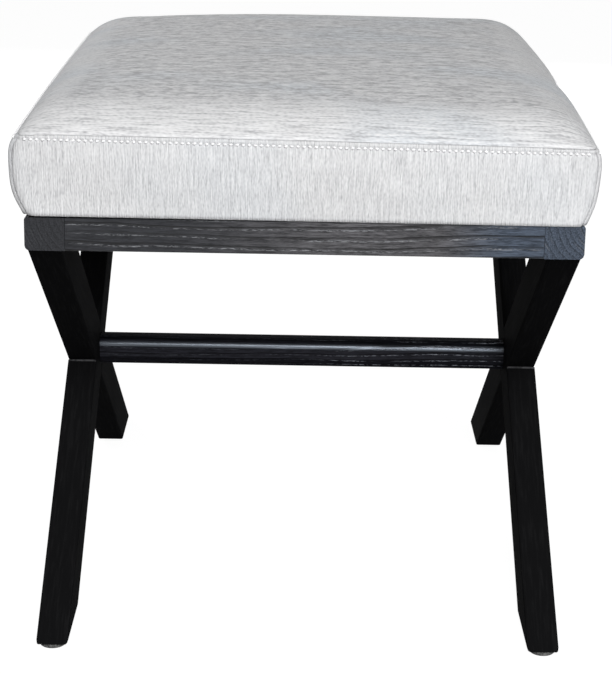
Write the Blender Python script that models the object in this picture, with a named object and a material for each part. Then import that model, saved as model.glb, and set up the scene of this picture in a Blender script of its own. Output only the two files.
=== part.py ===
# Ottoman: a padded seat on a wooden apron, carried by two pairs of crossed legs and a stretcher bar.
# Metres. X runs across the seat, Y along it with the front at -Y, Z up from the floor.

import math

import bmesh
import bpy

for old in list(bpy.data.objects):
    bpy.data.objects.remove(old, do_unlink=True)

# Clearance between pieces that touch on the real object.
GAP = 0.0003

# Apron
APRON_WIDTH = 0.432
APRON_LENGTH = 0.612
APRON_HEIGHT = 0.026
SIDE_RAIL_WIDTH = 0.031
END_RAIL_WIDTH = 0.024
RAIL_ROUND = 0.004
RAIL_EASE = 0.0015

# Legs: straight bars with level cuts at both ends
LEG_HEIGHT = 0.337
LEG_THICKNESS = 0.0263
LEG_CUT = 0.080
LEG_SETBACK = 0.009
LEG_EASE = 0.002

# Foot pads, stuck under the outer end of each foot
PAD_DIAMETER = 0.021
PAD_HEIGHT = 0.003
PAD_SETBACK = 0.001
PAD_EASE = 0.0005

# Stretcher, with a bolt through each crossing into a threaded insert
STRETCHER_SIZE = 0.0266
STRETCHER_ROUND = 0.0075
BOLT_DIAMETER = 0.006
BOLT_GRIP = 0.012
BOLT_HEAD_DIAMETER = 0.012
BOLT_HEAD_HEIGHT = 0.004
INSERT_DIAMETER = 0.010
INSERT_LENGTH = 0.015
PLUG_HEIGHT = 0.0035

# Dowels and screws of the frame
RAIL_DOWEL_DIAMETER = 0.008
RAIL_DOWEL_LENGTH = 0.040
LEG_DOWEL_DIAMETER = 0.008
LEG_DOWEL_LENGTH = 0.026
DOWEL_CHAMFER = 0.001
LEG_SCREW_LENGTH = 0.058
SCREW_DIAMETER = 0.005
SCREW_HEAD_DIAMETER = 0.0095
SCREW_HEAD_HEIGHT = 0.003
SCREW_TIP = 0.006

# Corner blocks, glued into the apron
BLOCK_LENGTH = 0.060
BLOCK_MARGIN = 0.002
BLOCK_SCREW_INSET = 0.019

# Seat: board, foam and sewn cover
SEAT_OVERHANG = 0.002
BOARD_THICKNESS = 0.012
BOARD_COVER = 0.003
DUST_COVER_THICKNESS = 0.0009
CLOTH = 0.0015
FOAM_SLACK = 0.0008
HEM_WIDTH = 0.026
CORNER_RADIUS = 0.011
SEAM_HEIGHT = 0.062
SEAM_OUT = 0.002
BAND_SWELL = 0.0092
BAND_POWER = 3.0
SIDE_SWELL = 0.004
CROWN_HEIGHT = 0.024
CROWN_RISE = 0.003
ROLL_WIDTH = 0.055
ROLL_POWER = 2.3

# Facets
ROUND_STEPS = 12
FINE_STEPS = 28
CORNER_STEPS = 4
BAR_STEPS = 8
SIDE_STEPS = (8, 12, 8, 12)
BAND_ROWS = 9
FOAM_ROWS = 5
ROLL_SHARES = (0.0, 0.07, 0.17, 0.3, 0.47, 0.7, 1.0)
ROUND_SEGMENTS = 3
EASE_SEGMENTS = 2
SHARP_ANGLE = math.radians(35)
MERGE_DISTANCE = 1e-6

# Worked out from the sizes above
HALF_WIDTH = APRON_WIDTH / 2
HALF_LENGTH = APRON_LENGTH / 2
SEAT_HALF_WIDTH = HALF_WIDTH + SEAT_OVERHANG
SEAT_HALF_LENGTH = HALF_LENGTH + SEAT_OVERHANG
APRON_BOTTOM = PAD_HEIGHT + LEG_HEIGHT
APRON_TOP = APRON_BOTTOM + APRON_HEIGHT
APRON_MIDDLE = APRON_BOTTOM + APRON_HEIGHT / 2
SIDE_RAIL_INNER = HALF_WIDTH - SIDE_RAIL_WIDTH
END_RAIL_INNER = HALF_LENGTH - END_RAIL_WIDTH
END_RAIL_CENTRE = HALF_LENGTH - END_RAIL_WIDTH / 2
FOOT_END = HALF_LENGTH - LEG_SETBACK
LEG_LEAN = (2 * FOOT_END - LEG_CUT) / LEG_HEIGHT
LEG_CENTRE_X = HALF_WIDTH - LEG_THICKNESS / 2
CROSSING_Z = PAD_HEIGHT + LEG_HEIGHT / 2
BOLT_HEAD_SEAT = HALF_WIDTH - PLUG_HEIGHT - GAP - BOLT_HEAD_HEIGHT
SEAT_BASE = APRON_TOP + GAP
BOARD_BOTTOM = SEAT_BASE + CLOTH + GAP
BOARD_TOP = BOARD_BOTTOM + BOARD_THICKNESS
SEAM_Z = APRON_TOP + SEAM_HEIGHT
SIDES = (("left", -1), ("right", 1))
ENDS = (("front", -1), ("back", 1))
ALONG_X = (0, math.pi / 2, 0)
UPSIDE_DOWN = (math.pi, 0, 0)

# The seat's corners and the way out of its sides, counter-clockwise from the front left and the front
CORNERS = ((-1, -1), (1, -1), (1, 1), (-1, 1))
OUTWARD = ((0, -1), (1, 0), (0, 1), (-1, 0))


def make_material(name, colour, roughness, metallic=0.0):
    material = bpy.data.materials.new(name)
    material.use_nodes = True
    shader = material.node_tree.nodes["Principled BSDF"]
    shader.inputs["Base Color"].default_value = (*colour, 1.0)
    shader.inputs["Roughness"].default_value = roughness
    shader.inputs["Metallic"].default_value = metallic
    return material


CHENILLE = make_material("chenille", (0.56, 0.57, 0.58), 0.9)
FOAM = make_material("foam", (0.85, 0.80, 0.62), 0.95)
PLYWOOD = make_material("plywood", (0.62, 0.46, 0.28), 0.7)
DUST_CLOTH = make_material("dust_cloth", (0.02, 0.02, 0.02), 0.95)
STAINED_ASH = make_material("stained_ash", (0.035, 0.038, 0.043), 0.5)
BLACK_LACQUER = make_material("black_lacquer", (0.006, 0.006, 0.006), 0.4)
BEECH = make_material("beech", (0.60, 0.42, 0.26), 0.6)
ZINC = make_material("zinc", (0.60, 0.60, 0.62), 0.35, 1.0)
BRASS = make_material("brass", (0.72, 0.55, 0.25), 0.35, 1.0)
FELT = make_material("felt", (0.10, 0.10, 0.10), 0.95)

# Every piece hangs on one empty, which stands at the middle of the footprint.
ottoman = bpy.data.objects.new("ottoman", None)
bpy.context.collection.objects.link(ottoman)


def add_object(name, shape, place, turn=(0, 0, 0)):
    bmesh.ops.recalc_face_normals(shape, faces=shape.faces)
    mesh = bpy.data.meshes.new(name)
    shape.to_mesh(mesh)
    shape.free()
    piece = bpy.data.objects.new(name, mesh)
    piece.location = place
    piece.rotation_euler = turn
    piece.parent = ottoman
    bpy.context.collection.objects.link(piece)
    return piece


def add_piece(name, shape, material, place, turn=(0, 0, 0)):
    piece = add_object(name, shape, place, turn)
    piece.data.materials.append(material)
    piece.data.shade_smooth()
    piece.data.set_sharp_from_angle(angle=SHARP_ANGLE)
    return piece


def cut(piece, shape, place, turn=(0, 0, 0)):
    cutter = add_object(piece.name + "_cutter", shape, place, turn)
    cutter.hide_render = True
    cutter.display_type = "WIRE"
    modifier = piece.modifiers.new("cut", "BOOLEAN")
    modifier.operation = "DIFFERENCE"
    modifier.object = cutter


def loft(rings):
    # One closed body through rings of equally many points, with a flat cap on the first and the last.
    shape = bmesh.new()
    rows = [[shape.verts.new(point) for point in ring] for ring in rings]
    for low, high in zip(rows, rows[1:]):
        for index, corner in enumerate(low):
            after = (index + 1) % len(low)
            shape.faces.new((corner, low[after], high[after], high[index]))
    shape.faces.new(rows[0])
    shape.faces.new(rows[-1])
    return shape


def at_height(points, z):
    return [(x, y, z) for x, y in points]


def box(width, length, height):
    corners = [(-width / 2, -length / 2), (width / 2, -length / 2)]
    corners += [(width / 2, length / 2), (-width / 2, length / 2)]
    return loft([at_height(corners, z) for z in (-height / 2, height / 2)])


def on_line(first, first_value, second, second_value):
    return abs(first - first_value) < GAP and abs(second - second_value) < GAP


def round_edges(shape, on_edge, width, segments):
    chosen = [edge for edge in shape.edges if all(on_edge(vert.co) for vert in edge.verts)]
    bmesh.ops.bevel(shape, geom=chosen, offset=width, segments=segments, profile=0.5, affect="EDGES")


def turned(profile, steps=ROUND_STEPS):
    # A solid of revolution about Z. The profile runs from axis to axis, or is a closed loop off the axis.
    shape = bmesh.new()
    points = [shape.verts.new((radius, 0, height)) for radius, height in profile]
    lines = [shape.edges.new(pair) for pair in zip(points, points[1:])]
    if profile[0][0] > 0:
        lines.append(shape.edges.new((points[-1], points[0])))
    swept = points + lines
    bmesh.ops.spin(shape, geom=swept, axis=(0, 0, 1), angle=math.tau, steps=steps, use_merge=True)
    bmesh.ops.remove_doubles(shape, verts=shape.verts, dist=MERGE_DISTANCE)
    return shape


def rod(diameter, low, high, steps=ROUND_STEPS):
    return turned([(0, low), (diameter / 2, low), (diameter / 2, high), (0, high)], steps)


def hole(diameter, low, high):
    return rod(diameter + 2 * GAP, low, high)


def chamfered_rod(diameter, length, chamfer, steps=ROUND_STEPS):
    radius, half = diameter / 2, length / 2
    lower = [(0, -half), (radius - chamfer, -half), (radius, -half + chamfer)]
    upper = [(radius, half - chamfer), (radius - chamfer, half), (0, half)]
    return turned(lower + upper, steps)


def screw(length):
    # Countersunk head at Z = 0, point down.
    shank, head = SCREW_DIAMETER / 2, SCREW_HEAD_DIAMETER / 2
    tip = [(0, -length), (shank, -length + SCREW_TIP)]
    return turned(tip + [(shank, -SCREW_HEAD_HEIGHT), (head, 0), (0, 0)])


def screw_hole(length, rise):
    # The screw's own shape, grown by the clearance and carried on above its head.
    shank, head = SCREW_DIAMETER / 2 + GAP, SCREW_HEAD_DIAMETER / 2 + GAP
    tip = [(0, -length - GAP), (shank, -length - GAP)]
    return turned(tip + [(shank, -SCREW_HEAD_HEIGHT), (head, 0), (head, rise), (0, rise)])


def make_rails():
    rails = {}
    high = APRON_HEIGHT / 2
    for side, sign in SIDES:
        outer = sign * SIDE_RAIL_WIDTH / 2
        shape = box(SIDE_RAIL_WIDTH, APRON_LENGTH, APRON_HEIGHT)
        round_edges(shape, lambda co: on_line(co.x, outer, co.z, -high), RAIL_ROUND, ROUND_SEGMENTS)
        round_edges(shape, lambda co: on_line(co.x, outer, co.z, high), RAIL_EASE, EASE_SEGMENTS)
        place = (sign * (SIDE_RAIL_INNER + SIDE_RAIL_WIDTH / 2), 0, APRON_MIDDLE)
        rails[side] = add_piece(side + "_rail", shape, STAINED_ASH, place)
    for end, sign in ENDS:
        outer = sign * END_RAIL_WIDTH / 2
        shape = box(2 * (SIDE_RAIL_INNER - GAP), END_RAIL_WIDTH, APRON_HEIGHT)
        round_edges(shape, lambda co: on_line(co.y, outer, co.z, -high), RAIL_EASE, EASE_SEGMENTS)
        rails[end] = add_piece(end + "_rail", shape, STAINED_ASH, (0, sign * END_RAIL_CENTRE, APRON_MIDDLE))
    return rails


def join_rails(rails):
    reach = RAIL_DOWEL_LENGTH / 2 + GAP
    for end, end_sign in ENDS:
        for side, side_sign in SIDES:
            place = (side_sign * SIDE_RAIL_INNER, end_sign * END_RAIL_CENTRE, APRON_MIDDLE)
            shape = chamfered_rod(RAIL_DOWEL_DIAMETER, RAIL_DOWEL_LENGTH, DOWEL_CHAMFER)
            add_piece(f"rail_dowel_{end}_{side}", shape, BEECH, place, ALONG_X)
            for rail in (rails[end], rails[side]):
                cut(rail, hole(RAIL_DOWEL_DIAMETER, -reach, reach), place, ALONG_X)


def make_corner_blocks():
    blocks = {}
    low = APRON_BOTTOM + BLOCK_MARGIN
    height = APRON_HEIGHT - 2 * BLOCK_MARGIN
    for end, end_sign in ENDS:
        for side, side_sign in SIDES:
            corner = (side_sign * (SIDE_RAIL_INNER - GAP), end_sign * (END_RAIL_INNER - GAP))
            outline = [(0, 0), (-side_sign * BLOCK_LENGTH, 0), (0, -end_sign * BLOCK_LENGTH)]
            shape = loft([at_height(outline, z) for z in (0, height)])
            name = f"corner_block_{end}_{side}"
            blocks[end, side] = add_piece(name, shape, BEECH, (*corner, low))
    return blocks


def leg_outline(foot_sign, spare=0.0):
    # Side view about the crossing: (Y, Z) of the bar, widened along its level cuts by spare on each side.
    half = LEG_HEIGHT / 2 - GAP
    far, near = FOOT_END + spare, FOOT_END - LEG_CUT - spare
    foot = [(foot_sign * far, -half), (foot_sign * near, -half)]
    return foot + [(-foot_sign * far, half), (-foot_sign * near, half)]


def bar(foot_sign, low, high, spare=0.0):
    return loft([[(x, y, z) for y, z in leg_outline(foot_sign, spare)] for x in (low, high)])


def make_leg(side, side_sign, end, foot_sign):
    # The leg with its foot at the front keeps its inner half at the crossing, the other its outer half.
    keeps = -side_sign if end == "front" else side_sign
    half, beyond = LEG_THICKNESS / 2, LEG_THICKNESS
    crossing = (side_sign * LEG_CENTRE_X, 0, CROSSING_Z)
    leg = add_piece(f"leg_{end}_{side}", bar(foot_sign, -half, half), BLACK_LACQUER, crossing)
    ease = leg.modifiers.new("ease", "BEVEL")
    ease.width = LEG_EASE
    ease.segments = EASE_SEGMENTS
    lap_spare = GAP * math.hypot(1, LEG_LEAN)
    cut(leg, bar(-foot_sign, keeps * GAP / 2, -keeps * beyond, lap_spare), crossing)
    cut(leg, hole(BOLT_DIAMETER, -beyond, beyond), crossing, ALONG_X)
    if keeps == side_sign:
        seat = BOLT_HEAD_SEAT - GAP - LEG_CENTRE_X
        mouth = sorted((side_sign * seat, side_sign * beyond))
        cut(leg, hole(BOLT_HEAD_DIAMETER, *mouth), crossing, ALONG_X)
    return leg


def fix_leg(leg, rail, name, side_sign, top_sign):
    # A screw down through the rail and a dowel beside it hold the leg's top, both inside the slanting bar.
    screw_depth = LEG_SCREW_LENGTH - APRON_HEIGHT
    screw_y = FOOT_END - (LEG_CUT + LEG_LEAN * screw_depth) / 2
    place = (side_sign * LEG_CENTRE_X, top_sign * screw_y, APRON_TOP - GAP)
    add_piece("leg_screw_" + name, screw(LEG_SCREW_LENGTH), ZINC, place)
    for held in (leg, rail):
        cut(held, screw_hole(LEG_SCREW_LENGTH, APRON_HEIGHT), place)
    reach = LEG_DOWEL_LENGTH / 2
    dowel_y = FOOT_END - LEG_LEAN * reach - LEG_DOWEL_DIAMETER
    place = (side_sign * LEG_CENTRE_X, top_sign * dowel_y, APRON_BOTTOM)
    shape = chamfered_rod(LEG_DOWEL_DIAMETER, LEG_DOWEL_LENGTH, DOWEL_CHAMFER)
    add_piece("leg_dowel_" + name, shape, BEECH, place)
    for held in (leg, rail):
        cut(held, hole(LEG_DOWEL_DIAMETER, -reach - GAP, reach + GAP), place)


def make_legs(rails):
    pad_y = FOOT_END - PAD_SETBACK - PAD_DIAMETER / 2
    for side, side_sign in SIDES:
        for (end, foot_sign), (top_end, top_sign) in zip(ENDS, ENDS[::-1]):
            leg = make_leg(side, side_sign, end, foot_sign)
            fix_leg(leg, rails[side], f"{top_end}_{side}", side_sign, top_sign)
            shape = chamfered_rod(PAD_DIAMETER, PAD_HEIGHT, PAD_EASE, FINE_STEPS)
            place = (side_sign * LEG_CENTRE_X, foot_sign * pad_y, PAD_HEIGHT / 2)
            add_piece(f"foot_pad_{end}_{side}", shape, FELT, place)


def make_stretcher():
    half = HALF_WIDTH - LEG_THICKNESS - GAP
    place = (0, 0, CROSSING_Z)
    edge = STRETCHER_SIZE / 2
    shape = box(2 * half, STRETCHER_SIZE, STRETCHER_SIZE)
    round_edges(shape, lambda co: on_line(abs(co.y), edge, abs(co.z), edge), STRETCHER_ROUND, BAR_STEPS)
    stretcher = add_piece("stretcher", shape, BLACK_LACQUER, place)
    shank, head, bore = BOLT_DIAMETER / 2, BOLT_HEAD_DIAMETER / 2, BOLT_DIAMETER / 2 + GAP
    seat, top, tip = BOLT_HEAD_SEAT, BOLT_HEAD_SEAT + BOLT_HEAD_HEIGHT, half - BOLT_GRIP
    bolt_profile = [(0, tip), (shank, tip), (shank, seat), (head, seat), (head, top), (0, top)]
    outer, low = INSERT_DIAMETER / 2, half - INSERT_LENGTH
    insert_profile = [(bore, low), (outer, low), (outer, half), (bore, half)]
    for side, sign in SIDES:
        # The bolt, insert and plug are turned about Z with their outer end up, then laid over to this side.
        laid = (0, sign * math.pi / 2, 0)
        add_piece("stretcher_bolt_" + side, turned(bolt_profile), ZINC, place, laid)
        add_piece("threaded_insert_" + side, turned(insert_profile), BRASS, place, laid)
        cut(stretcher, hole(INSERT_DIAMETER, low - GAP, half + LEG_THICKNESS), place, laid)
        plug = rod(BOLT_HEAD_DIAMETER, HALF_WIDTH - PLUG_HEIGHT, HALF_WIDTH)
        add_piece("bolt_plug_" + side, plug, BLACK_LACQUER, place, laid)


def corner_point(corner, step, inset):
    # A point of the rounded corner: steps count counter-clockwise through its quarter turn.
    sign_x, sign_y = CORNERS[corner % 4]
    radius = max(CORNER_RADIUS - inset, CLOTH)
    angle = math.pi * (1 + corner / 2) + math.pi / 2 * step / CORNER_STEPS
    x = sign_x * (SEAT_HALF_WIDTH - inset - radius) + radius * math.cos(angle)
    y = sign_y * (SEAT_HALF_LENGTH - inset - radius) + radius * math.sin(angle)
    return x, y


def rim(inset, swell=0.0):
    # The seat's outline as (X, Y) points, counter-clockwise from the middle of the front left corner.
    # It lies inside the seat's edge by inset, and each side bows out by swell at its middle.
    points = []
    for side, steps in enumerate(SIDE_STEPS):
        out_x, out_y = OUTWARD[side]
        points += [corner_point(side, step, inset) for step in range(CORNER_STEPS // 2, CORNER_STEPS + 1)]
        start = corner_point(side, CORNER_STEPS, inset)
        finish = corner_point(side + 1, 0, inset)
        for step in range(1, steps):
            share = step / steps
            bow = swell * 4 * share * (1 - share)
            x = start[0] + (finish[0] - start[0]) * share + out_x * bow
            y = start[1] + (finish[1] - start[1]) * share + out_y * bow
            points.append((x, y))
        points += [corner_point(side + 1, step, inset) for step in range(CORNER_STEPS // 2)]
    return points


def band_rim(height, depth=0.0):
    # The boxing at a share of its height: it swells between the hem and the top seam, sunk in by depth.
    out = SEAM_OUT * height + BAND_SWELL * (1 - abs(2 * height - 1) ** BAND_POWER)
    return rim(depth - out, SIDE_SWELL * height)


def top_rings(depth):
    # Rings of the top panel's surface from the seam inwards, sunk into the cushion by depth.
    rings = []
    for share in ROLL_SHARES:
        rise = (CROWN_HEIGHT - depth) * (1 - (1 - share) ** ROLL_POWER)
        rings.append(at_height(band_rim(1.0, ROLL_WIDTH * share + depth), SEAM_Z + rise))
    middle = (ROLL_WIDTH + SEAT_HALF_WIDTH) / 2
    rings.append(at_height(band_rim(1.0, middle + depth), SEAM_Z + CROWN_HEIGHT + CROWN_RISE - depth))
    return rings


def make_top_panel():
    # The panel lies half a clearance above the seam, and the boxing stops half a clearance below it.
    shell = top_rings(CLOTH)[::-1] + top_rings(0.0)
    add_piece("cover_top_panel", loft(shell), CHENILLE, (0, 0, GAP / 2))


def band_section():
    # A strip's section, as rims at their heights: up the wall, down its lining, in along the hem.
    wall_height = SEAM_Z - GAP / 2 - SEAT_BASE
    wall, lining = [], []
    for row in range(BAND_ROWS):
        share = row / (BAND_ROWS - 1)
        wall.append(at_height(band_rim(share), SEAT_BASE + wall_height * share))
        share = max(share, CLOTH / wall_height)
        lining.append(at_height(band_rim(share, CLOTH), SEAT_BASE + wall_height * share))
    hem = rim(HEM_WIDTH)
    return wall + lining[::-1] + [at_height(hem, SEAT_BASE + CLOTH), at_height(hem, SEAT_BASE)]


def shortened(ring, axis):
    # The end of a strip, drawn back along the strip from the corner's diagonal, where two strips are sewn.
    moved = []
    for point in ring:
        point = list(point)
        point[axis] -= math.copysign(GAP, point[axis])
        moved.append(tuple(point))
    return moved


def make_bands():
    section = band_section()
    first = 0
    for name, steps, axis in zip(("front", "right", "back", "left"), SIDE_STEPS, (0, 1, 0, 1)):
        last = first + steps + CORNER_STEPS
        rings = [[points[column % len(points)] for points in section] for column in range(first, last + 1)]
        rings[0] = shortened(rings[0], axis)
        rings[-1] = shortened(rings[-1], axis)
        add_piece(f"cover_{name}_band", loft(rings), CHENILLE, (0, 0, 0))
        first = last


def make_filling():
    edge = rim(CLOTH + GAP)
    shape = loft([at_height(edge, BOARD_BOTTOM), at_height(edge, BOARD_TOP)])
    board = add_piece("seat_board", shape, PLYWOOD, (0, 0, 0))
    low, depth = BOARD_TOP + GAP, CLOTH + FOAM_SLACK
    rings = []
    for row in range(FOAM_ROWS):
        z = low + (SEAM_Z - low) * row / FOAM_ROWS
        rings.append(at_height(band_rim((z - SEAT_BASE) / (SEAM_Z - SEAT_BASE), depth), z))
    add_piece("seat_foam", loft(rings + top_rings(depth)), FOAM, (0, 0, 0))
    return board


def make_underside(board, blocks):
    # The dust cover lies inside the hem, flat against the board, and the seat screws go through it.
    edge = rim(HEM_WIDTH + GAP)
    high = BOARD_BOTTOM - GAP
    shape = loft([at_height(edge, high - DUST_COVER_THICKNESS), at_height(edge, high)])
    dust_cover = add_piece("dust_cover", shape, DUST_CLOTH, (0, 0, 0))
    head_z = APRON_BOTTOM + BLOCK_MARGIN + GAP
    length = BOARD_TOP - BOARD_COVER - head_z
    for end, end_sign in ENDS:
        for side, side_sign in SIDES:
            x = side_sign * (SIDE_RAIL_INNER - GAP - BLOCK_SCREW_INSET)
            y = end_sign * (END_RAIL_INNER - GAP - BLOCK_SCREW_INSET)
            place = (x, y, head_z)
            add_piece(f"seat_screw_{end}_{side}", screw(length), ZINC, place, UPSIDE_DOWN)
            for held in (blocks[end, side], dust_cover, board):
                cut(held, screw_hole(length, APRON_HEIGHT), place, UPSIDE_DOWN)


apron_rails = make_rails()
join_rails(apron_rails)
make_legs(apron_rails)
make_stretcher()
make_top_panel()
make_bands()
seat_board = make_filling()
make_underside(seat_board, make_corner_blocks())
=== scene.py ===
import math

import bmesh
import bpy
import numpy as np
from mathutils import Matrix, Vector


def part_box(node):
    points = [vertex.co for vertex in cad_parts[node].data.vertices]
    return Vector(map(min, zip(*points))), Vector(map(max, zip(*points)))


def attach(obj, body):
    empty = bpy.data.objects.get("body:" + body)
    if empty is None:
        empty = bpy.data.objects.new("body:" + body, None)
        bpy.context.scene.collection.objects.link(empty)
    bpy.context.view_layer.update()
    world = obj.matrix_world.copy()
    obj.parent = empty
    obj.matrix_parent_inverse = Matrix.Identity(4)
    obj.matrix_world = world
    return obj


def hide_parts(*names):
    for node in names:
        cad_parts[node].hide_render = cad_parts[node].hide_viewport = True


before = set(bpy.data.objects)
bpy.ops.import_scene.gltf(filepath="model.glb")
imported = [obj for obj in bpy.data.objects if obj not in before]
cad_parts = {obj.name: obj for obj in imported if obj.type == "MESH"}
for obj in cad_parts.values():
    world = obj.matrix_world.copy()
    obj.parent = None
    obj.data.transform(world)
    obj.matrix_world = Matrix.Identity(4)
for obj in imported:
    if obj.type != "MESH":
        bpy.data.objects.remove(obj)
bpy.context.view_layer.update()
print("frame loaded,", len(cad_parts), "nodes")


def newMesh(name, points, faces):
    mesh = bpy.data.meshes.new(name)
    mesh.from_pydata(points, [], faces)
    return mesh


def newObject(name, data):
    made = bpy.data.objects.new(name, data)
    bpy.context.collection.objects.link(made)
    return made


# small helpers for shader nodes; a socket's id_data is the node tree that it belongs to

def newMaterial(name):
    material = bpy.data.materials.new(name)
    material.use_nodes = True
    return material, material.node_tree


def isSocket(value):
    return isinstance(value, bpy.types.NodeSocket)


def fill(node, inputs):  # link or set inputs of a node
    for key, value in inputs.items():
        if isSocket(value):
            node.id_data.links.new(value, node.inputs[key])
        else:
            node.inputs[key].default_value = value


def put(tree, kind, inputs=None, **settings):  # add one node
    node = tree.nodes.new("ShaderNode" + kind)
    for key, value in settings.items():
        setattr(node, key, value)
    fill(node, inputs or {})
    return node


def calc(operation, first, second=0.0, clamp=False):
    inputs = {0: first, 1: second}
    return put(first.id_data, "Math", inputs, operation=operation, use_clamp=clamp).outputs[0]


def times(first, second, clamp=False):
    return calc("MULTIPLY", first, second, clamp)


def minus(first, second):
    return calc("SUBTRACT", first, second)


def weigh(*parts, level=0.0):  # sum of values times their shares, added to a level
    total = level
    for value, share in parts:
        total = calc("ADD", times(value, share), total)
    return total


def distance(first, second):  # of a place that lies so far off on two axes
    squares = [calc("POWER", value, 2.0) for value in (first, second)]
    return calc("SQRT", calc("ADD", *squares))


def split(vector):
    return put(vector.id_data, "SeparateXYZ", {0: vector}).outputs


def streaks(vector, scale, detail=2.0, roughness=0.5):  # scale is features per metre
    tree = vector.id_data
    mapping = put(tree, "Mapping", {"Vector": vector, "Scale": scale})
    inputs = {"Vector": mapping.outputs[0], "Scale": 1.0, "Detail": detail, "Roughness": roughness}
    return put(tree, "TexNoise", inputs).outputs[0]


def window(value, start, end):  # 0 at the start, 1 at the end, smooth between
    inputs = {"Value": value, "From Min": start, "From Max": end}
    return put(value.id_data, "MapRange", inputs, interpolation_type="SMOOTHSTEP").outputs[0]


def marks(vector, noise, span):  # noise, faded in over a span of its levels
    return window(streaks(vector, *noise), *span)


def blendValue(factor, first, second):
    return put(factor.id_data, "Mix", {0: factor, 2: first, 3: second}, data_type="FLOAT").outputs[0]


def asColour(value):  # 0..255 screen values are made linear, a socket or a linear colour stays
    if isSocket(value) or len(value) == 4:
        return value
    parts = [v / 255 for v in value]
    return tuple(v / 12.92 if v <= 0.04045 else ((v + 0.055) / 1.055) ** 2.4 for v in parts) + (1.0,)


def blend(factor, first, second):
    inputs = {0: factor, 6: asColour(first), 7: asColour(second)}
    return put(factor.id_data, "Mix", inputs, data_type="RGBA").outputs[2]


def layOver(colour, mark, share, tone):  # a second tone over a colour, where its mark is
    return blend(times(mark, share), colour, tone)


def objectPlace(tree):
    return put(tree, "TexCoord").outputs["Object"]


def normalParts(tree):
    return split(put(tree, "NewGeometry").outputs["Normal"])


def complete(material, colour, height, look, surface=None):
    tree, (depth, strength) = material.node_tree, look["bump"]
    normal = put(tree, "Bump", {"Height": height, "Distance": depth, "Strength": strength}).outputs[0]
    inputs = {"Base Color": colour, "Normal": normal, **(surface or look["surface"])}
    fill(tree.nodes["Principled BSDF"], inputs)
    return material


def makeTwoTone(name, look):  # noise between two colours
    material, tree = newMaterial(name)
    noise = streaks(objectPlace(tree), *look["noise"])
    factor = window(noise, *look["span"]) if "span" in look else noise
    colour = blend(factor, look["dark"], look["pale"])
    return complete(material, colour, noise, look)


# camera, solved from the edges of the legs, apron and stretcher in the photograph

camera = {
    "place": (-0.0050, -1.7837, 0.7066),
    "yaw": -0.283,
    "pitch": 16.31,  # degrees below level
    "roll": 1.03,
    "focalPixels": 1971.0,
    "imageHeight": 674,
    "sensor": 36.0,  # mm
    "reach": 50.0,
}


def makeCamera():
    data = bpy.data.cameras.new("photoCamera")
    data.sensor_width = camera["sensor"]
    data.lens = camera["focalPixels"] * camera["sensor"] / camera["imageHeight"]
    data.clip_end = camera["reach"]
    photoCamera = newObject("photoCamera", data)
    turn = Matrix.Rotation(math.radians(camera["yaw"]), 4, "Z")
    turn @= Matrix.Rotation(math.radians(90 - camera["pitch"]), 4, "X")
    turn @= Matrix.Rotation(math.radians(camera["roll"]), 4, "Z")
    photoCamera.matrix_world = Matrix.Translation(camera["place"]) @ turn
    bpy.context.scene.camera = photoCamera
    print("camera, lens", round(data.lens, 1), "mm")


# stage: white floor, white surroundings, soft lamps

white = (1.0, 1.0, 1.0, 1.0)

studio = {
    "floorSize": 30.0,
    "floorWhite": 0.35,
    "floorGlow": 1.5,  # what the camera sees of a clear floor, before its shadow share
    "shadowShare": 0.36,
    "surround": 0.10,  # light from all round
    "lamps": {
        # place, width and height, share of a facing surface's colour, colour
        "frontLamp": ((0.25, -3.0, 2.05), (1.2, 1.2), 0.715, (1.0, 0.994, 0.985)),
        "lowLamp": ((0.70, -3.2, 1.25), (0.9, 0.5), 0.18, (0.95, 0.975, 1.0)),
        "rightLamp": ((2.6, -1.5, 0.4), (1.4, 0.7), 0.13, (0.94, 0.97, 1.0)),
        "leftLamp": ((-2.0, 1.2, 1.3), (1.2, 0.9), 0.29, (0.96, 0.98, 1.0)),
        "backLamp": ((0.2, 3.0, 0.75), (1.4, 0.9), 0.30, (1.0, 1.0, 1.0)),
    },
    "aim": (0.0, 0.0, 0.25),
}


def seenRays(tree):  # 1 for rays from the camera, a gloss or a clear piece
    path = put(tree, "LightPath").outputs
    seen = calc("MAXIMUM", path["Is Camera Ray"], path["Is Glossy Ray"])
    return calc("MAXIMUM", seen, path["Is Transmission Ray"])


def makeFloor():
    half = studio["floorSize"] / 2
    corners = [(-half, -half, 0), (half, -half, 0), (half, half, 0), (-half, half, 0)]
    mesh = newMesh("floor", corners, [(0, 1, 2, 3)])
    floor = newObject("floor", mesh)
    material, tree = newMaterial("whiteFloor")
    shader = tree.nodes["Principled BSDF"]
    grey = (studio["floorWhite"],) * 3 + (1.0,)
    fill(shader, {"Base Color": grey, "Roughness": 1.0, "Specular IOR Level": 0.0})
    glow = put(tree, "Emission", {"Color": white, "Strength": studio["floorGlow"]})
    share = times(seenRays(tree), 1 - studio["shadowShare"])
    lit = put(tree, "MixShader", {0: share, 1: shader.outputs[0], 2: glow.outputs[0]})
    below = put(tree, "NewGeometry").outputs["Backfacing"]  # clear when looked at from below
    clear = put(tree, "BsdfTransparent")
    both = put(tree, "MixShader", {0: below, 1: lit.outputs[0], 2: clear.outputs[0]})
    fill(tree.nodes["Material Output"], {"Surface": both.outputs[0]})
    mesh.materials.append(material)


def makeSurround():
    world = bpy.data.worlds.new("surround")
    world.use_nodes = True
    bpy.context.scene.world = world
    tree = world.node_tree
    soft = tree.nodes["Background"]
    fill(soft, {"Color": white, "Strength": studio["surround"]})
    bright = put(tree, "Background", {"Color": white, "Strength": 1.0})
    both = put(tree, "MixShader", {0: seenRays(tree), 1: soft.outputs[0], 2: bright.outputs[0]})
    fill(tree.nodes["World Output"], {"Surface": both.outputs[0]})


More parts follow.
